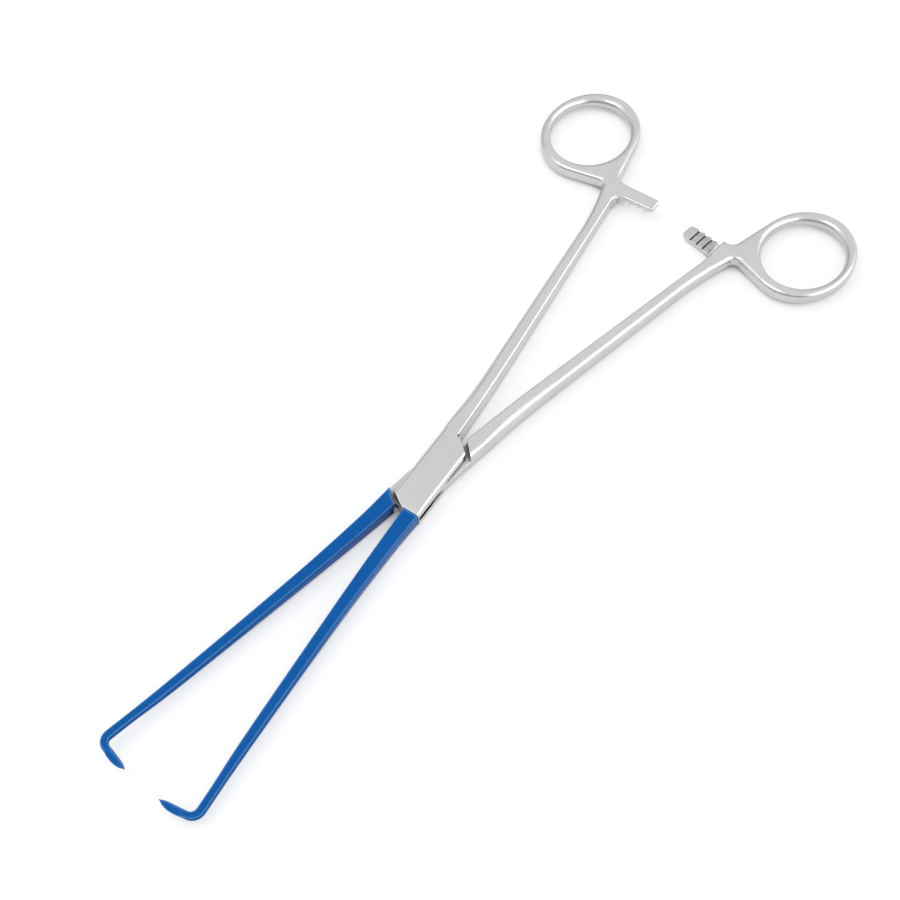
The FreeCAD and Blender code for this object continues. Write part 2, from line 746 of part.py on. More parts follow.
rivet_hole = cylinder("rivet_hole", size("pin_radius"), size("box_thickness") * 2)
relief_shift = size("relief_radius") / 2
relief = cylinder("relief", size("relief_radius"), size("box_thickness") * 2,
                  relief_shift - size("cheek_rear_inner"), inner_side + relief_shift)
female_handle = cut("female_handle", handle_rounded, root_trim)
female_jaw = cut("female_jaw", female_steel, front_trim)
female_solid = fuse("female_solid", [female_handle, box_block(), female_jaw])
female_cuts = fuse("female_cuts", [
    slot, rivet_hole, relief, cheek_trim, ratchet_cutter("female_teeth", -1)])
female_half = cut("female_half", female_solid, female_cuts)
female_coating = cut("female_coating", female_shell, front_trim)

# The male half: the handle up to its shoulder, the thin tenon and the jaw.
rear_middle = size("cheek_rear_inner") + size("shoulder_gap")
rear_side = size("cheek_rear_outer") + size("shoulder_slant")
shoulder_side = size("cheek_front_outer") + size("front_shoulder_gap")
shoulder_trim = plate("shoulder_trim", [
    Corner(-rear_middle, inner_side),
    Corner(-rear_middle, past_side),
    Corner(0, past_side),
    Corner(0, -past_side),
    Corner(-rear_side, -past_side),
    Corner(-rear_side, -half_box),
], size("box_thickness") * 2)
jaw_trim = slanted_box("jaw_trim", shoulder_side, half_box, size("front_shoulder_angle"), True)
male_handle = cut("male_handle", handle_rounded, shoulder_trim)
male_jaw = cut("male_jaw", mirrored("male_steel_upside_down", male_steel, upwards), jaw_trim)

# The tenon's ends are round about the pivot, then flat where they meet the slot's end walls
# when the instrument is fully open.
tenon_reach = size("slot_reach") - size("end_gap")
opening = size("half_spread") * 2 + size("extra_opening")
stop_across = tenon_reach * tangent(opening / 2)
stop_along = (tenon_reach - half_box * sine(opening)) / cosine(opening)
rear_root = -(tenon_reach + size("neck_root"))
front_root = tenon_reach + size("neck_root")
jaw_side = half_box - size("coat_thickness") * 2
tenon = plate("tenon", [
    Corner(rear_root, -half_box),
    Corner(rear_root, -size("rear_neck_offset")),
    Corner(-tenon_reach, -size("rear_neck_offset")),
    Corner(-tenon_reach, stop_across, tenon_reach),
    Corner(-stop_along, half_box),
    Corner(shoulder_side - 0.3, half_box),
    Corner(shoulder_side + 0.6, jaw_side),
    Corner(front_root, jaw_side - 0.3),
    Corner(front_root, size("front_neck_offset")),
    Corner(tenon_reach, size("front_neck_offset")),
    Corner(tenon_reach, -stop_across, tenon_reach),
    Corner(stop_along, -half_box),
], size("slot_height") - size("running_gap") * 2)
male_solid = fuse("male_solid", [male_handle, tenon, male_jaw])
tenon_bore = cylinder("tenon_bore", size("pin_radius") + size("pin_gap"), size("box_thickness") * 2)
male_cuts = fuse("male_cuts", [tenon_bore, ratchet_cutter("male_teeth", 1)])
male_plain = cut("male_plain", male_solid, male_cuts)
male_half = mirrored("male_half", male_plain, across_the_line)
trimmed_shell = cut("trimmed_shell", mirrored("male_shell_upside_down", male_shell, upwards), jaw_trim)
male_coating = mirrored("male_coating", trimmed_shell, across_the_line)

joint_pin = cylinder("joint_pin", size("pin_radius"), size("box_thickness"))
bind(joint_pin, "Placement.Base.z", as_size(0))
turn_open(female_half, 1)
turn_open(female_coating, 1)
turn_open(male_half, -1)
turn_open(male_coating, -1)

DOC.recompute()
for thing in DOC.Objects:
    if "Invalid" in thing.State or "Error" in thing.State:
        raise RuntimeError("%s: %s" % (thing.Label, thing.State))
os.makedirs("parts", exist_ok=True)
for part in (female_half, male_half, joint_pin, female_coating, male_coating):
    if part.Shape.isNull() or not part.Shape.isValid() or len(part.Shape.Solids) != 1:
        raise RuntimeError("%s isn't one valid solid" % part.Label)
    part.Shape.exportStep("parts/%s.step" % part.Label)
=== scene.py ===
"""Looks of a single tooth tenaculum: two satin steel halves in a box joint, with blue insulated jaws.

All sizes are in metres unless a name says otherwise. The jaws point along +X, the pivot is the Z axis,
and the instrument lies on the plane z = 0.
"""

import logging
import math
from dataclasses import dataclass, field
from enum import Enum
from typing import Any

import bmesh
import bpy
from mathutils import Matrix, Vector


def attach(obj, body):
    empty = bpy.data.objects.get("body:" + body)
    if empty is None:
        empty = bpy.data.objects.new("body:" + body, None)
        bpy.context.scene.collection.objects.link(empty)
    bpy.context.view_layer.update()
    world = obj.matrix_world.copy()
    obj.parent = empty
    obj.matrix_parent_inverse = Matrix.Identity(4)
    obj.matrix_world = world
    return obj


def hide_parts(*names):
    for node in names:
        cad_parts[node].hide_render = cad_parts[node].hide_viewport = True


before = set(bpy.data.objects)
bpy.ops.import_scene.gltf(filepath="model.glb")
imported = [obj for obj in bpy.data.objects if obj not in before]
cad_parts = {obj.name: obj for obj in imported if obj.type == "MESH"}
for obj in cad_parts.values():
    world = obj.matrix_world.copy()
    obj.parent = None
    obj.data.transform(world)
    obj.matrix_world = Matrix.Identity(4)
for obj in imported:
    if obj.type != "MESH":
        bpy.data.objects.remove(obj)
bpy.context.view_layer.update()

logging.basicConfig(level=logging.INFO, format="%(message)s")
LOG = logging.getLogger("tenaculum")

MM = 0.001
MID_PLANE = 2.9 * MM
HALF_SPREAD = math.radians(4.9)
WHITE = (1, 1, 1, 1)

# Node types and settings that come up again and again below.
MATH = "ShaderNodeMath"
VECTOR_MATH = "ShaderNodeVectorMath"
MAP = "ShaderNodeMapRange"
MIX = "ShaderNodeMix"
ADD = {"operation": "ADD"}
SUBTRACT = {"operation": "SUBTRACT"}
MULTIPLY = {"operation": "MULTIPLY"}
DIVIDE = {"operation": "DIVIDE"}
LARGER = {"operation": "MAXIMUM"}
TIMES_PLUS = {"operation": "MULTIPLY_ADD"}
FLOOR = {"operation": "FLOOR"}
SIGN = {"operation": "SIGN"}
SIZE_OF = {"operation": "ABSOLUTE"}
EASED = {"interpolation_type": "SMOOTHSTEP"}
OF_COLOURS = {"data_type": "RGBA"}
OF_NUMBERS = {"data_type": "FLOAT"}


def linear(hex_colour: str) -> tuple[float, float, float, float]:
    """Turns an sRGB hex colour into linear values.

    Args:
        hex_colour: Six hex digits after a hash sign.

    Returns:
        Red, green, blue and an alpha of 1.
    """
    parts = [int(hex_colour[i : i + 2], 16) / 255 for i in (1, 3, 5)]
    values = [p / 12.92 if p <= 0.04045 else ((p + 0.055) / 1.055) ** 2.4 for p in parts]
    return values[0], values[1], values[2], 1.0


def add_node(
    tree: bpy.types.NodeTree, kind: str, settings: dict[str, Any], links: dict[Any, Any]
) -> bpy.types.Node:
    """Adds a node with its settings and links.

    Args:
        tree: The node tree that gets it.
        kind: The node's type name.
        settings: Attributes of the node to set.
        links: Input name or number to a value, to the output socket that feeds it, or to a node whose
            first output in use feeds it.

    Returns:
        The new node.
    """
    node = tree.nodes.new(kind)
    for name, value in settings.items():
        setattr(node, name, value)
    for name, value in links.items():
        if isinstance(value, bpy.types.Node):
            value = next(socket for socket in value.outputs if socket.enabled)
        if isinstance(value, bpy.types.NodeSocket):
            tree.links.new(value, node.inputs[name])
        else:
            node.inputs[name].default_value = value
    return node


@dataclass(frozen=True)
class Ramp:
    """A value that goes from start to end while another goes from low to high."""

    low: float
    high: float
    start: float = 0.0
    end: float = 1.0

    def of(self, value: Any) -> dict[str, Any]:
        """What the node that maps a range takes in to read this value.

        Args:
            value: A socket or a node that gives it.

        Returns:
            The node's inputs by name.
        """
        limits = {"From Min": self.low, "From Max": self.high, "To Min": self.start, "To Max": self.end}
        return {"Value": value, **limits}


class Half(Enum):
    """The two halves of the instrument, and which side of the centre line each jaw lies on."""

    FEMALE = 1
    MALE = -1

    @property
    def label(self) -> str:
        """The half's name as its pieces carry it."""
        return self.name.lower()

    @property
    def body(self) -> str:
        """The name of the half's rigid body."""
        return f"{self.label}_body"

    @property
    def place(self) -> Matrix:
        """Brings the half from its own shut frame, in mid plane heights, to where it lies.

        Returns:
            The half's turn and place, with the male half mirrored and upside down.
        """
        mirror = Matrix.Diagonal((1, self.value, self.value, 1))
        turn = Matrix.Rotation(self.value * HALF_SPREAD, 4, "Z")
        return Matrix.Translation((0, 0, MID_PLANE)) @ turn @ mirror


@dataclass(frozen=True)
class SatinSteel:
    """Martensitic stainless steel, forged, ground and brushed satin along its length.

    It gives the eye a soft, pale grey shine with fine streaks along each half, broadly rounded edges
    on the handles, painted shade that turns gaps nearly black where two pieces meet, and much darker points.
    Places along and across are in the half's own frame, with its jaw along +X.
    """

    half: Half
    colour: str = "#d3d3d2"
    roughness: float = 0.25
    roughness_change: float = 0.03
    ring_roughness: float = 0.20
    # The brush lines are finer than this on the real one: they are drawn this coarse so that they show.
    streak_width: float = 0.22 * MM
    streak_length: float = 14 * MM
    streak_height: float = 0.02 * MM
    streak_strength: float = 0.03
    clouds_to_metre: float = 90.0
    box_round: float = 0.22 * MM
    handle_round: float = 0.9 * MM
    ring_round: float = 1.7 * MM
    painted_shade_reach: float = 2.4 * MM
    tooth_painted_shade_reach: float = 0.7 * MM
    # How the colour falls with the streaks, the clouds and the painted shade in a gap.
    streak_tone: Ramp = Ramp(0.25, 0.75, 0.93, 1.0)
    cloud_tone: Ramp = Ramp(0.3, 0.7, 0.965, 1.0)
    gap_painted_shade: Ramp = Ramp(0.30, 0.86, 0.13, 1.0)
    ring_tone: Ramp = Ramp(0.0, 1.0, 1.0, 0.97)
    # Where the finish changes along the half and across it.
    at_ring: Ramp = Ramp(-116 * MM, -106 * MM, 1.0, 0.0)
    ahead_of_arm: Ramp = Ramp(-108 * MM, -106 * MM)
    outside_arm: Ramp = Ramp(-8.5 * MM, -7.0 * MM, 1.0, 0.0)
    at_handle: Ramp = Ramp(-22 * MM, -14 * MM, 1.0, 0.0)
    # The steel's colour falls to about a fifth towards the points.
    at_point: Ramp = Ramp(95 * MM, 100 * MM, 1.0, 0.22)
    off_pin: Ramp = Ramp(2.2 * MM, 2.6 * MM)

    def _frame(self, tree: bpy.types.NodeTree) -> bpy.types.Node:
        """The place in the half's own frame.

        Args:
            tree: The material's tree.

        Returns:
            The node that gives it.
        """
        place = add_node(tree, "ShaderNodeTexCoord", {}, {})
        heading = self.half.value * HALF_SPREAD
        return add_node(
            tree,
            "ShaderNodeMapping",
            {"vector_type": "TEXTURE"},
            {
                "Vector": place.outputs["Object"],
                "Rotation": (0, 0, heading),
                "Scale": (1, self.half.value, 1),
            },
        )

    def _streaks(self, tree: bpy.types.NodeTree, own: bpy.types.Node) -> bpy.types.Node:
        """The brush lines, from 0 to 1.

        Args:
            tree: The material's tree.
            own: The place in the half's own frame.

        Returns:
            The node that gives them.
        """
        size = (self.streak_length, self.streak_width, self.streak_width * 4)
        stretched = add_node(
            tree, "ShaderNodeMapping", {"vector_type": "TEXTURE"}, {"Vector": own, "Scale": size}
        )
        return add_node(tree, "ShaderNodeTexNoise", {}, {"Vector": stretched, "Scale": 1.0, "Detail": 2.0})

    def _tint(self, tree: bpy.types.NodeTree, shares: list[bpy.types.Node]) -> bpy.types.Node:
        """The steel's colour, darkened by each share in turn.

        Args:
            tree: The material's tree.
            shares: Nodes that each give 1 where the colour stays and less where it falls.

        Returns:
            The node that gives the colour.
        """
        total = 1.0
        for share in shares:
            total = add_node(tree, MATH, MULTIPLY, {0: total, 1: share})
        settings = {"data_type": "RGBA", "blend_type": "MULTIPLY"}
        return add_node(tree, MIX, settings, {"Factor": 1.0, "A": linear(self.colour), "B": total})

    def _normal(self, tree: bpy.types.NodeTree, own: bpy.types.Node, widest: bpy.types.Node,
                broad: bpy.types.Node, streaks: bpy.types.Node) -> bpy.types.Node:
        """The surface's direction, with its edges rounded and its streaks raised.

        Args:
            tree: The material's tree.
            own: The place in the half's own frame.
            widest: The broad rounding of handle and ring.
            broad: Gives 1 where the edges have it, and 0 where they have the box's.
            streaks: The brush lines.

        Returns:
            The node that gives the direction.
        """
        radius = add_node(tree, MAP, {}, {"Value": broad, "To Min": self.box_round, "To Max": widest})
        # The pin is ground flush, so no edge near it is rounded.
        flat = add_node(tree, VECTOR_MATH, MULTIPLY, {0: own, 1: (1, 1, 0)})
        from_pin = add_node(tree, VECTOR_MATH, {"operation": "LENGTH"}, {0: flat})
        off_pin = add_node(tree, MAP, EASED, self.off_pin.of(from_pin.outputs["Value"]))
        reach = add_node(tree, MATH, MULTIPLY, {0: radius, 1: off_pin})
        rounded = add_node(tree, "ShaderNodeBevel", {"samples": 8}, {"Radius": reach})
        return add_node(
            tree,
            "ShaderNodeBump",
            {},
            {
                "Strength": self.streak_strength,
                "Distance": self.streak_height,
                "Height": streaks.outputs[0],
                "Normal": rounded,
            },
        )

    def build(self) -> bpy.types.Material:
        """Makes the material.

        Returns:
            The half's own satin steel.
        """
        material = bpy.data.materials.new(f"satin_stainless_steel_{self.half.label}")
        material.use_nodes = True
        tree = material.node_tree
        shader = tree.nodes["Principled BSDF"]
        own = self._frame(tree)
        split = add_node(tree, "ShaderNodeSeparateXYZ", {}, {0: own})
        along, across = split.outputs[0], split.outputs[1]
        streaks = self._streaks(tree, own)
        clouds = add_node(
            tree, "ShaderNodeTexNoise", {}, {"Vector": own, "Scale": self.clouds_to_metre, "Detail": 1.0}
        )
        at_ring = add_node(tree, MAP, EASED, self.at_ring.of(along))
        # The ratchet arm keeps its sharp edges, and its teeth are too close for the wide reach of the painted
        # gap shade.
        ahead = add_node(tree, MAP, EASED, self.ahead_of_arm.of(along))
        outside = add_node(tree, MAP, EASED, self.outside_arm.of(across))
        off_arm = add_node(tree, MATH, LARGER, {0: ahead, 1: outside})
        deep = add_node(tree, MAP, EASED, Ramp(0.0, 1.0, self.tooth_painted_shade_reach, self.painted_shade_reach).of(off_arm))
        # Ambient occlusion darkens the colour in gaps and recesses: painted shade.
        shade = add_node(tree, "ShaderNodeAmbientOcclusion", {"samples": 8}, {"Distance": deep})
        tones = (
            (self.streak_tone, streaks),
            (self.cloud_tone, clouds),
            (self.gap_painted_shade, shade.outputs["AO"]),
            (self.ring_tone, at_ring),
            (self.at_point, along),
        )
        tint = self._tint(tree, [add_node(tree, MAP, EASED, ramp.of(value)) for ramp, value in tones])
        smoothest, roughest = self.roughness - self.roughness_change, self.roughness + self.roughness_change
        satin = add_node(tree, MAP, EASED, Ramp(0.3, 0.7, smoothest, roughest).of(streaks))
        rough = add_node(tree, MIX, OF_NUMBERS, {"Factor": at_ring, "A": satin, "B": self.ring_roughness})
        at_handle = add_node(tree, MAP, EASED, self.at_handle.of(along))
        broad = add_node(tree, MATH, MULTIPLY, {0: at_handle, 1: off_arm})
        widest = add_node(tree, MAP, EASED, Ramp(0.0, 1.0, self.handle_round, self.ring_round).of(at_ring))
        normal = self._normal(tree, own, widest, broad, streaks)
        tree.links.new(tint.outputs["Result"], shader.inputs["Base Color"])
        tree.links.new(rough.outputs["Result"], shader.inputs["Roughness"])
        tree.links.new(normal.outputs["Normal"], shader.inputs["Normal"])
        shader.inputs["Metallic"].default_value = 1.0
        return material


@dataclass(frozen=True)
class JawInsulation:
    """Fluoropolymer powder, sprayed on and fused in an oven.

    It gives the eye an even, strong blue with a soft gloss, and a paler blue painted along its edges as a
    painted highlight, where the rounded edges would catch the light.
    """

    name: str = "fused_blue_fluoropolymer"
    colour: str = "#0056a0"
    # The paler blue is a painted highlight along the edges.
    painted_highlight_colour: str = "#6ca4e2"
    roughness: float = 0.16
    ior: float = 1.36
    gloss: float = 0.18
    grain: float = 0.9 * MM
    grain_height: float = 0.02 * MM
    grain_strength: float = 0.10
    painted_edge_highlight: Ramp = Ramp(0.0, 1.0, 0.0, 0.45)

    def build(self) -> bpy.types.Material:
        """Makes the material.

        Returns:
            The blue of both jaws, which reads the attribute "edge" for its painted edge highlight.
        """
        material = bpy.data.materials.new(self.name)
        material.use_nodes = True
        tree = material.node_tree
        shader = tree.nodes["Principled BSDF"]
        place = add_node(tree, "ShaderNodeTexCoord", {}, {})
        grain = add_node(
            tree, "ShaderNodeTexNoise", {}, {"Vector": place.outputs["Object"], "Scale": 1 / self.grain}
        )
        bump = add_node(
            tree,
            "ShaderNodeBump",
            {},
            {"Strength": self.grain_strength, "Distance": self.grain_height, "Height": grain.outputs[0]},
        )
        # The attribute "edge" mixes in the paler blue: a painted highlight along the edges.
        edge = add_node(tree, "ShaderNodeAttribute", {"attribute_name": "edge"}, {})
        share = add_node(tree, MAP, EASED, self.painted_edge_highlight.of(edge.outputs["Fac"]))
        colours = {"A": linear(self.colour), "B": linear(self.painted_highlight_colour)}
        tint = add_node(tree, MIX, OF_COLOURS, {"Factor": share, **colours})
        tree.links.new(tint.outputs["Result"], shader.inputs["Base Color"])
        tree.links.new(bump.outputs["Normal"], shader.inputs["Normal"])
        shader.inputs["Roughness"].default_value = self.roughness
        shader.inputs["IOR"].default_value = self.ior
        shader.inputs["Specular IOR Level"].default_value = self.gloss
        return material


@dataclass(frozen=True)
class JawStation:
    """One cross-section of the coated jaw, in millimetres: a rectangle with rounded corners.

    place and across are its centre in the half's own shut frame, rise its height over the mid plane,
    heading the jaw's direction there in degrees, and roll how far it leans outwards, in radians.
    """

    place: float
    across: float
    rise: float
    heading: float
    half_width: float
    half_height: float
    corner: float
    roll: float = 0.0

    @property
    def level(self) -> Vector:
        """The level direction to the jaw's left."""
        turn = math.radians(self.heading)
        return Vector((-math.sin(turn), math.cos(turn), 0))

    @property
    def side(self) -> Vector:
        """The section's own sideways direction."""
        return self.level * math.cos(self.roll) - Vector((0, 0, 1)) * math.sin(self.roll)

    @property
    def up(self) -> Vector:
        """The section's own upwards direction."""
        return Vector((0, 0, 1)) * math.cos(self.roll) + self.level * math.sin(self.roll)


def smooth(low: float, value: float, high: float) -> float:
    """Eases from 0 to 1 as a value goes from low to high.

    Args:
        low: Where it starts to rise.
        value: Where it is read.
        high: Where it stops rising.

    Returns:
        The share, level at both ends.
    """
    share = min(1.0, max(0.0, (value - low) / (high - low)))
    return share * share * (3 - 2 * share)


def curve_through(rows: list[tuple[float, ...]], at: float) -> list[float]:
    """Reads a smooth curve through rows of numbers.

    Args:
        rows: Rows that start with a rising place, with the values there after it.
        at: The place to read.

    Returns:
        The values at that place.
    """
    last = len(rows) - 2
    index = next((i for i in range(last) if at < rows[i + 1][0]), last)
    first, second = rows[index], rows[index + 1]
    before = rows[max(index - 1, 0)]
    after = rows[min(index + 2, len(rows) - 1)]
    span = second[0] - first[0]
    t = (at - first[0]) / span
    values = []
    for k in range(1, len(first)):
        start = (second[k] - before[k]) / (second[0] - before[0]) * span
        end = (after[k] - first[k]) / (after[0] - first[0]) * span
        values.append(
            (2 * t**3 - 3 * t**2 + 1) * first[k]
            + (t**3 - 2 * t**2 + t) * start
            + (3 * t**2 - 2 * t**3) * second[k]
            + (t**3 - t**2) * end
        )
    return values


@dataclass
class SweptSkin:
    """Geometry Nodes that sweep a rounded rectangle of changing size along a spine."""

    corner_steps: int = 8
    painted_highlight_width: float = 0.40 * MM
    tree: bpy.types.GeometryNodeTree = field(init=False)

    def __post_init__(self) -> None:
        """Builds the tree once, for both jaws."""
        self.tree = tree = bpy.data.node_groups.new("swept_skin", "GeometryNodeTree")
        sockets = {"Spine": "Geometry", "Corner Steps": "Int", "Finish": "Material"}
        for label, kind in sockets.items():
            tree.interface.new_socket(label, in_out="INPUT", socket_type=f"NodeSocket{kind}")
        tree.interface.new_socket("Skin", in_out="OUTPUT", socket_type="NodeSocketGeometry")
        inputs = add_node(tree, "NodeGroupInput", {}, {})
        spine = add_node(tree, "GeometryNodeMeshToCurve", {}, {"Mesh": inputs.outputs["Spine"]})
        profile = self._profile(inputs.outputs["Corner Steps"])
        swept = add_node(
            tree, "GeometryNodeCurveToMesh", {}, {"Curve": spine, "Profile Curve": profile, "Fill Caps": True}
        )
        # The attribute "edge" marks a band along the middle of each corner, where the blue gets a painted
        # highlight.
        corner = self._read(["corner", "off_middle"])
        off_edge = add_node(tree, MATH, MULTIPLY, {0: corner["off_middle"], 1: corner["corner"]})
        near = add_node(tree, MATH, TIMES_PLUS, {0: off_edge, 1: -1 / self.painted_highlight_width, 2: 1.0})
        edge = add_node(tree, MATH, LARGER, {0: near, 1: 0.0})
        marked = self._keep(swept, {"edge": edge})
        moved = add_node(
            tree, "GeometryNodeSetPosition", {}, {"Geometry": marked, "Position": self._surface()}
        )
        shaded = add_node(tree, "GeometryNodeSetShadeSmooth", {}, {0: moved})
        real = add_node(tree, "GeometryNodeRealizeInstances", {}, {0: shaded})
        finish = {"Geometry": real, "Material": inputs.outputs["Finish"]}
        painted = add_node(tree, "GeometryNodeSetMaterial", {}, finish)
        add_node(tree, "NodeGroupOutput", {}, {"Skin": painted})

    def _read(self, names: list[str], kind: str = "FLOAT") -> dict[str, bpy.types.NodeSocket]:
        """Reads attributes of the points.

        Args:
            names: The attributes' names.
            kind: What they hold.

        Returns:
            Each name with the socket that gives its values.
        """
        found = {}
        for name in names:
            node = add_node(self.tree, "GeometryNodeInputNamedAttribute", {"data_type": kind}, {"Name": name})
            found[name] = node.outputs["Attribute"]
        return found

    def _keep(self, points: bpy.types.Node, values: dict[str, bpy.types.Node]) -> bpy.types.Node:
        """Keeps numbers on the points, each under its name.

        Args:
            points: The node that gives the points.
            values: Each name with the node that gives its values.

        Returns:
            The node that gives the points with all of them.
        """
        settings = {"data_type": "FLOAT", "domain": "POINT"}
        for name, value in values.items():
            links = {"Geometry": points, "Name": name, "Value": value}
            points = add_node(self.tree, "GeometryNodeStoreNamedAttribute", settings, links)
        return points

    def _profile(self, steps: bpy.types.NodeSocket) -> bpy.types.Node:
        """The ring of points round a section, each with its corner and its direction from there.

        Args:
            steps: Into how many steps each corner is divided.

        Returns:
            The node that gives the ring.
        """
        tree = self.tree
        per_corner = add_node(tree, MATH, ADD, {0: steps, 1: 1.0})
        around = add_node(tree, MATH, MULTIPLY, {0: per_corner, 1: 4.0})
        ring = add_node(tree, "GeometryNodeCurvePrimitiveCircle", {"mode": "RADIUS"}, {"Resolution": around})
        index = add_node(tree, "GeometryNodeInputIndex", {}, {})
        turns = add_node(tree, MATH, DIVIDE, {0: index, 1: per_corner})
        corner = add_node(tree, MATH, FLOOR, {0: turns})
        first = add_node(tree, MATH, MULTIPLY, {0: corner, 1: per_corner})
        step = add_node(tree, MATH, SUBTRACT, {0: index, 1: first})
        share = add_node(tree, MATH, DIVIDE, {0: step, 1: steps})
        centred = add_node(tree, MATH, TIMES_PLUS, {0: share, 1: 2.0, 2: -1.0})
        values = {"off_middle": add_node(tree, MATH, SIZE_OF, {0: centred})}
        quarters = add_node(tree, MATH, ADD, {0: corner, 1: share})
        middles = add_node(tree, MATH, ADD, {0: corner, 1: 0.5})
        turn = add_node(tree, MATH, MULTIPLY, {0: quarters, 1: math.pi / 2})
        middle = add_node(tree, MATH, MULTIPLY, {0: middles, 1: math.pi / 2})
        for direction, sign, wave in (("sideways", "side_sign", "COSINE"), ("upwards", "up_sign", "SINE")):
            values[direction] = add_node(tree, MATH, {"operation": wave}, {0: turn})
            to_corner = add_node(tree, MATH, {"operation": wave}, {0: middle})
            values[sign] = add_node(tree, MATH, SIGN, {0: to_corner})
        return self._keep(ring, values)

    def _surface(self) -> bpy.types.Node:
        """Where each point of the skin lies: out from its spine point to its corner, then round it.

        Returns:
            The node that gives the place.
        """
        tree = self.tree
        corner = self._read(["corner"])["corner"]
        vectors = self._read(["place", "side", "up"], "FLOAT_VECTOR")
        steps = []
        for half, sign, direction, axis in (
            ("half_width", "side_sign", "sideways", "side"),
            ("half_height", "up_sign", "upwards", "up"),
        ):
            read = self._read([half, sign, direction])
            inside = add_node(tree, MATH, SUBTRACT, {0: read[half], 1: corner})
            flat = add_node(tree, MATH, MULTIPLY, {0: inside, 1: read[sign]})
            round_part = add_node(tree, MATH, MULTIPLY, {0: corner, 1: read[direction]})
            length = add_node(tree, MATH, ADD, {0: flat, 1: round_part})
            links = {0: vectors[axis], "Scale": length}
            steps.append(add_node(tree, VECTOR_MATH, {"operation": "SCALE"}, links))
        out = add_node(tree, VECTOR_MATH, ADD, {0: steps[0], 1: steps[1]})
        return add_node(tree, VECTOR_MATH, ADD, {0: vectors["place"], 1: out})

    def sweep(self, name: str, stations: list[JawStation], finish: bpy.types.Material) -> bpy.types.Object:
        """Sweeps one skin and makes it a plain mesh in the half's own shut frame.

        Args:
            name: The new object's name.
            stations: The cross-sections, from the box to the point.
            finish: The skin's material.

        Returns:
            The finished object, in metres.
        """
        mesh = bpy.data.meshes.new(name + "_spine")
        points = [Vector((s.place, s.across, s.rise)) * MM for s in stations]
        mesh.from_pydata(points, [(i, i + 1) for i in range(len(points) - 1)], [])
        for label in ("half_width", "half_height", "corner"):
            layer = mesh.attributes.new(label, "FLOAT", "POINT")
            layer.data.foreach_set("value", [getattr(s, label) * MM for s in stations])
        sides, ups = [s.side for s in stations], [s.up for s in stations]
        for label, vectors in {"place": points, "side": sides, "up": ups}.items():
            layer = mesh.attributes.new(label, "FLOAT_VECTOR", "POINT")
            layer.data.foreach_set("vector", [value for vector in vectors for value in vector])
        spine = bpy.data.objects.new(name + "_spine", mesh)
        bpy.context.scene.collection.objects.link(spine)
        modifier = spine.modifiers.new("skin", "NODES")
        modifier.node_group = self.tree
        items = self.tree.interface.items_tree
        sockets = {item.name: item.identifier for item in items if item.in_out == "INPUT"}
        modifier[sockets["Corner Steps"]] = self.corner_steps
        modifier[sockets["Finish"]] = finish
        graph = bpy.context.evaluated_depsgraph_get()
        skin = bpy.data.meshes.new_from_object(spine.evaluated_get(graph), depsgraph=graph)
        bpy.data.objects.remove(spine)
        skin.name = name
        made = bpy.data.objects.new(name, skin)
        bpy.context.scene.collection.objects.link(made)
        return made


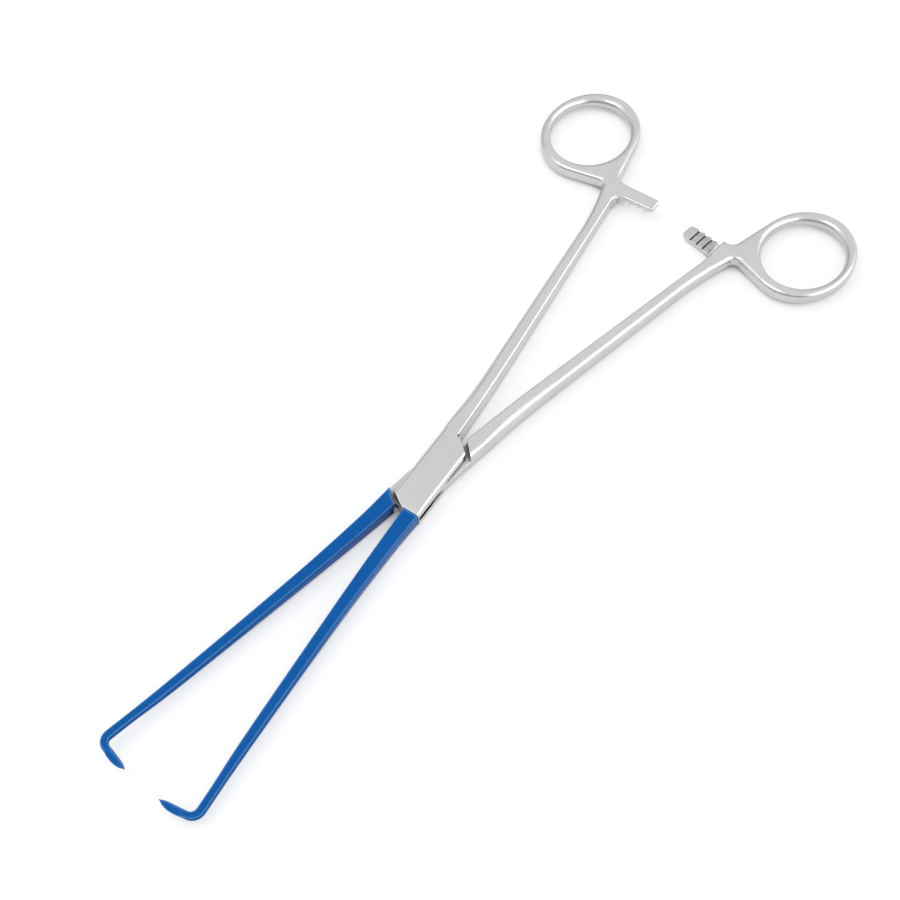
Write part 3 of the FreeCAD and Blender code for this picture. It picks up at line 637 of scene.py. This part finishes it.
@dataclass
class InsulatedJaw:
    """The blue insulation of one jaw, from its shoulder to just short of the steel point.

    Sizes are in millimetres and angles in degrees, apart from the rim's rounding, in metres.
    """

    half: Half
    skin: SweptSkin
    finish: bpy.types.Material
    # Place, inner side, outer side, half thickness and corner radius.
    bar: list[tuple[float, ...]] = field(
        default_factory=lambda: [
            (9.0, 0.12, 4.80, 2.55, 0.55),
            (15.0, 0.18, 4.48, 2.32, 0.56),
            (20.0, 0.28, 4.33, 2.15, 0.60),
            (30.0, 0.58, 4.30, 1.99, 0.70),
            (40.0, 0.98, 4.42, 1.86, 0.85),
            (50.0, 1.44, 4.75, 1.75, 1.05),
            (60.0, 1.92, 5.15, 1.65, 1.25),
            (70.0, 2.45, 5.56, 1.55, 1.32),
            (80.0, 3.02, 5.98, 1.46, 1.35),
            (89.0, 3.62, 6.36, 1.34, 1.25),
            (97.0, 4.28, 6.70, 1.22, 1.14),
            (103.94, 4.712, 7.108, 1.20, 1.10),
        ]
    )
    # Share of the bend, or 1 and the share of the claw's length; width, thickness, share of the
    # sideways step, forward bow.
    hook: list[tuple[float, ...]] = field(
        default_factory=lambda: [
            (0.0, 2.40, 2.40, 0.60, 0.0),
            (0.5, 2.22, 2.22, 0.81, 0.0),
            (1.0, 1.94, 1.90, 0.98, 0.0),
            (1.30, 2.02, 1.56, 1.0, 0.20),
            (1.58, 1.90, 1.26, 1.0, 0.26),
            (1.80, 1.36, 0.90, 1.0, 0.16),
            (1.94, 0.56, 0.44, 1.0, 0.06),
        ]
    )
    lean: float = 3.5
    bend_radius: float = 2.6
    bend_start: tuple[float, float] = (103.94, 5.91)
    bar_step: float = 1.5
    bar_end_gap: float = 0.4
    hook_sections: int = 42
    # How far the hook's own plane lies from the mid plane, and over which stretch the bar steps there.
    hook_step: float = 0.85
    bar_share_of_step: float = 0.6
    step_starts: float = 86.0
    step_ends: float = 105.0
    bare_point: float = 0.6
    # The claw leans outwards from late in the bend to a quarter of its own length, and its corners
    # grow sharper with that.
    claw_roll: float = 22.0
    roll_starts: float = 0.8
    roll_ends: float = 0.25
    corner_share: float = 0.46
    sharper_corner: float = 0.14
    end_round: float = 0.16 * MM
    rim_painted_highlight: float = 0.7

    @property
    def claw(self) -> float:
        """Length from the bend's end to the point."""
        return 7.6 if self.half is Half.FEMALE else 7.0

    @property
    def shoulder(self) -> tuple[Vector, float]:
        """A corner of the steel shoulder that the insulation ends at, and the shoulder's slant.

        Returns:
            The corner's place and the slant.
        """
        if self.half is Half.FEMALE:
            return Vector((12.6, 0, 0)), 0.0
        return Vector((10.24, 4.85, 0)), 33.8

    def _bar_stations(self) -> list[JawStation]:
        """Cross-sections of the long straight part.

        Returns:
            The stations, from the box to just before the bend.
        """
        stations = []
        place = self.bar[0][0]
        while place < self.bend_start[0] - self.bar_end_gap:
            inner, outer, half_height, corner = curve_through(self.bar, place)
            middle, ahead = (sum(curve_through(self.bar, x)[:2]) / 2 for x in (place, place + 1))
            rise = -self.hook_step * self.bar_share_of_step * smooth(self.step_starts, place, self.step_ends)
            heading = math.degrees(math.atan(ahead - middle))
            stations.append(
                JawStation(place, middle, rise, heading, (outer - inner) / 2, half_height, corner)
            )
            place += self.bar_step
        return stations

    def _hook_stations(self) -> list[JawStation]:
        """Cross-sections round the bend and down to the end of the coating.

        Returns:
            The stations, from the bend's start to the bare point.
        """
        lean = math.radians(self.lean)
        centre = Vector(self.bend_start) + self.bend_radius * Vector((math.sin(lean), -math.cos(lean)))
        arc = self.bend_radius * math.pi / 2
        stations = []
        for i in range(self.hook_sections + 1):
            run = (arc + self.claw - self.bare_point) * i / self.hook_sections
            width, thickness, share, bow = curve_through(
                self.hook, run / arc if run < arc else 1 + (run - arc) / self.claw
            )
            heading = lean - min(run, arc) / self.bend_radius
            leaning = smooth(arc * self.roll_starts, run, arc + self.claw * self.roll_ends)
            roll = self.half.value * math.radians(self.claw_roll) * leaning
            corner = min(width, thickness) * (self.corner_share - self.sharper_corner * leaning)
            ahead = Vector((math.cos(heading), math.sin(heading)))
            outwards = Vector((-math.sin(heading), math.cos(heading)))
            point = centre + outwards * (self.bend_radius + bow) + ahead * max(0.0, run - arc)
            rise = -self.hook_step * share
            turn = math.degrees(heading)
            stations.append(
                JawStation(point.x, point.y, rise, turn, width / 2, thickness / 2, corner, roll)
            )
        return stations

    def _trim(self, shape: bmesh.types.BMesh) -> None:
        """Ends the coating at the steel shoulder, with a closed end and a rounded rim that gets the painted
        edge highlight.

        Args:
            shape: The coating's mesh, in the half's own shut frame.
        """
        corner, degrees = self.shoulder
        slant = math.radians(degrees)
        normal = Vector((math.cos(slant), math.sin(slant), 0))
        everything = shape.verts[:] + shape.edges[:] + shape.faces[:]
        cut = bmesh.ops.bisect_plane(
            shape, geom=everything, plane_co=corner * MM, plane_no=normal, clear_inner=True
        )
        rim = [edge for edge in cut["geom_cut"] if isinstance(edge, bmesh.types.BMEdge)]
        bmesh.ops.contextual_create(shape, geom=rim)
        turned = bmesh.ops.bevel(
            shape, geom=rim, offset=self.end_round, segments=2, profile=0.5, affect="EDGES"
        )
        # The rim's points join the mask of the painted edge highlight.
        edge = shape.verts.layers.float["edge"]
        for vert in turned["verts"]:
            vert[edge] = max(vert[edge], self.rim_painted_highlight)

    def build(self) -> bpy.types.Object:
        """Makes the coating, trims it at the shoulder and puts it on its half.

        Returns:
            The coating's object.
        """
        name = f"{self.half.label}_insulation"
        made = self.skin.sweep(name, self._bar_stations() + self._hook_stations(), self.finish)
        shape = bmesh.new()
        shape.from_mesh(made.data)
        self._trim(shape)
        shape.transform(self.half.place)
        bmesh.ops.recalc_face_normals(shape, faces=shape.faces)
        for face in shape.faces:
            # The flat end has many corners, and stays flat.
            face.smooth = len(face.verts) < 5
        shape.to_mesh(made.data)
        shape.free()
        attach(made, self.half.body)
        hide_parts(f"{self.half.label}_coating")
        return made


@dataclass
class SteelHalves:
    """The two forged halves and the pin, as the solids give them, in satin steel."""

    pin_rides_in: Half = Half.FEMALE

    def dress(self) -> list[str]:
        """Gives each steel solid its finish.

        Returns:
            The names of the dressed solids.
        """
        names = []
        for half in Half:
            finish = SatinSteel(half).build()
            solids = [f"{half.label}_half"] + (["joint_pin"] if half is self.pin_rides_in else [])
            for solid in solids:
                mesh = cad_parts[solid].data
                mesh.materials.clear()
                mesh.materials.append(finish)
                names.append(solid)
        return names


@dataclass(frozen=True)
class LightPanel:
    """One soft panel on the white room's walls, by where it hangs from the instrument, in degrees."""

    azimuth: float
    half_width: float
    elevation: float
    half_height: float
    change: float
    softness: float = 10.0

    def edge(self, half_size: float) -> Ramp:
        """How the panel fades out round an edge this far from its middle."""
        inner, outer = half_size - self.softness, half_size + self.softness
        return Ramp(math.radians(inner), math.radians(outer), 1.0, 0.0)


@dataclass(frozen=True)
class Studio:
    """A plain pale table, soft light from all round and a camera where the photograph's was."""

    target: tuple[float, float, float] = (-9.62 * MM, -1.16 * MM, MID_PLANE)
    back: tuple[float, float, float] = (0.4196, 0.3319, 0.8448)
    distance: float = 442.54 * MM
    lens_mm: float = 67.608
    sensor_mm: float = 36.0
    clip: tuple[float, float] = (0.01, 20.0)
    table_width: float = 6.0
    table_colour: str = "#e8e8e8"
    seen_table_colour: str = "#b0b1b3"
    table_roughness: float = 0.9
    # Deep in a narrow gap the table's glow falls away: painted shade.
    painted_shade_reach: float = 5 * MM
    glow_and_painted_gap_shade: Ramp = Ramp(0.12, 0.50, 0.10, 0.59)
    lamp_place: tuple[float, float, float] = (0.1, -0.9, 1.3)
    lamp_size: float = 1.0
    lamp_watts: float = 5.0
    ceiling: float = 0.93
    seen_ceiling: float = 1.0
    panels: tuple[LightPanel, ...] = (
        LightPanel(114.0, 48.0, 36.0, 30.0, 0.42, 20.0),
        LightPanel(114.0, 40.0, 39.0, 5.0, 5.0, 4.0),
        LightPanel(-30.0, 40.0, 57.0, 15.0, 0.4),
        LightPanel(-35.0, 28.0, 65.0, 7.0, 3.2, 6.0),
        LightPanel(20.0, 46.0, 17.0, 22.0, -0.55),
        LightPanel(-118.0, 36.0, 12.0, 18.0, -0.33),
    )

    def _seen(self, tree: bpy.types.NodeTree, path: bpy.types.Node) -> bpy.types.Node:
        """Whether a ray shows the background: straight from the camera, or by way of metal or a clear coat.

        Args:
            tree: The tree of the table's material or of the world.
            path: The tree's light path.

        Returns:
            The node that gives 1 for such a ray.
        """
        rays = {0: path.outputs["Is Glossy Ray"], 1: path.outputs["Is Transmission Ray"]}
        mirrored = add_node(tree, MATH, LARGER, rays)
        return add_node(tree, MATH, LARGER, {0: path.outputs["Is Camera Ray"], 1: mirrored})

    def _table(self) -> None:
        """The table top, which shows white and keeps the instrument's soft shadow, with painted shade deep in
        narrow gaps.
        """
        mesh = bpy.data.meshes.new("table")
        reach = self.table_width / 2
        corners = [(-reach, -reach, 0), (reach, -reach, 0), (reach, reach, 0), (-reach, reach, 0)]
        mesh.from_pydata(corners, [], [(0, 1, 2, 3)])
        made = bpy.data.objects.new("table", mesh)
        bpy.context.scene.collection.objects.link(made)
        material = bpy.data.materials.new("white_table")
        material.use_nodes = True
        tree = material.node_tree
        shader = tree.nodes["Principled BSDF"]
        seen = self._seen(tree, add_node(tree, "ShaderNodeLightPath", {}, {}))
        colours = {"A": linear(self.table_colour), "B": linear(self.seen_table_colour)}
        tint = add_node(tree, MIX, OF_COLOURS, {"Factor": seen, **colours})
        # Ambient occlusion lowers the glow deep in narrow gaps: painted shade on the table.
        shade = add_node(tree, "ShaderNodeAmbientOcclusion", {"samples": 8}, {"Distance": self.painted_shade_reach})
        glow_with_painted_shade = add_node(tree, MAP, EASED, self.glow_and_painted_gap_shade.of(shade.outputs["AO"]))
        glow = add_node(tree, MATH, MULTIPLY, {0: seen, 1: glow_with_painted_shade})
        tree.links.new(tint.outputs["Result"], shader.inputs["Base Color"])
        tree.links.new(glow.outputs[0], shader.inputs["Emission Strength"])
        shader.inputs["Emission Color"].default_value = WHITE
        shader.inputs["Roughness"].default_value = self.table_roughness
        shader.inputs["Specular IOR Level"].default_value = 0.0
        mesh.materials.append(material)

    def _lamp(self) -> None:
        """The one lamp, square and overhead. It faces the instrument and only shades matt surfaces."""
        light = bpy.data.lights.new("overhead_tent", "AREA")
        light.size = self.lamp_size
        light.energy = self.lamp_watts
        made = bpy.data.objects.new("overhead_tent", light)
        made.location = self.lamp_place
        made.rotation_mode = "QUATERNION"
        made.rotation_quaternion = Vector(self.lamp_place).to_track_quat("Z", "Y")
        made.visible_glossy = False
        bpy.context.scene.collection.objects.link(made)

    def _panel_light(self, tree: bpy.types.NodeTree) -> bpy.types.Node:
        """What the panels add to the light from each direction, or take from it.

        Args:
            tree: The world's tree.

        Returns:
            The node that gives it.
        """
        place = add_node(tree, "ShaderNodeTexCoord", {}, {})
        split = add_node(tree, "ShaderNodeSeparateXYZ", {}, {0: place.outputs["Generated"]})
        azimuth = add_node(tree, MATH, {"operation": "ARCTAN2"}, {0: split.outputs[1], 1: split.outputs[0]})
        elevation = add_node(tree, MATH, {"operation": "ARCSINE"}, {0: split.outputs[2]})
        total = 0.0
        for panel in self.panels:
            turned = add_node(tree, MATH, SUBTRACT, {0: azimuth, 1: math.radians(panel.azimuth)})
            wrapped = add_node(tree, MATH, {"operation": "WRAP"}, {0: turned, 1: math.pi, 2: -math.pi})
            raised = add_node(tree, MATH, SUBTRACT, {0: elevation, 1: math.radians(panel.elevation)})
            shares = []
            for distance, half_size in ((wrapped, panel.half_width), (raised, panel.half_height)):
                size = add_node(tree, MATH, SIZE_OF, {0: distance})
                shares.append(add_node(tree, MAP, EASED, panel.edge(half_size).of(size)))
            both = add_node(tree, MATH, MULTIPLY, {0: shares[0], 1: shares[1]})
            total = add_node(tree, MATH, TIMES_PLUS, {0: both, 1: panel.change, 2: total})
        return total

    def _world(self) -> None:
        """A white room: an even ceiling, with brighter and darker panels that only shiny things show."""
        world = bpy.data.worlds.new("white_room")
        bpy.context.scene.world = world
        world.use_nodes = True
        tree = world.node_tree
        background = tree.nodes["Background"]
        panels = self._panel_light(tree)
        path = add_node(tree, "ShaderNodeLightPath", {}, {})
        ceilings = {"A": self.ceiling, "B": self.seen_ceiling}
        even = add_node(tree, MIX, OF_NUMBERS, {"Factor": self._seen(tree, path), **ceilings})
        links = {0: panels, 1: path.outputs["Is Glossy Ray"], 2: even}
        strength = add_node(tree, MATH, TIMES_PLUS, links)
        tree.links.new(strength.outputs[0], background.inputs["Strength"])
        background.inputs["Color"].default_value = WHITE

    def _camera(self) -> None:
        """The camera, at the photograph's angle, distance and framing."""
        data = bpy.data.cameras.new("camera")
        data.lens = self.lens_mm
        data.sensor_width = self.sensor_mm
        data.clip_start, data.clip_end = self.clip
        made = bpy.data.objects.new("camera", data)
        back = Vector(self.back).normalized()
        made.location = Vector(self.target) + back * self.distance
        made.rotation_mode = "QUATERNION"
        made.rotation_quaternion = (-back).to_track_quat("-Z", "Y")
        bpy.context.scene.collection.objects.link(made)
        bpy.context.scene.camera = made

    def build(self) -> None:
        """Sets the table, the light and the camera."""
        self._table()
        self._world()
        self._lamp()
        self._camera()
        bpy.context.scene.view_settings.view_transform = "Standard"


def main() -> None:
    """Builds the looks piece by piece."""
    for solid in SteelHalves().dress():
        LOG.info("dressed %s", solid)
    insulation = JawInsulation().build()
    skin = SweptSkin()
    for half in Half:
        made = InsulatedJaw(half, skin, insulation).build()
        LOG.info("made %s with %d faces", made.name, len(made.data.polygons))
    Studio().build()
    LOG.info("set the table, the light and the camera")


if __name__ == "__main__":
    main()
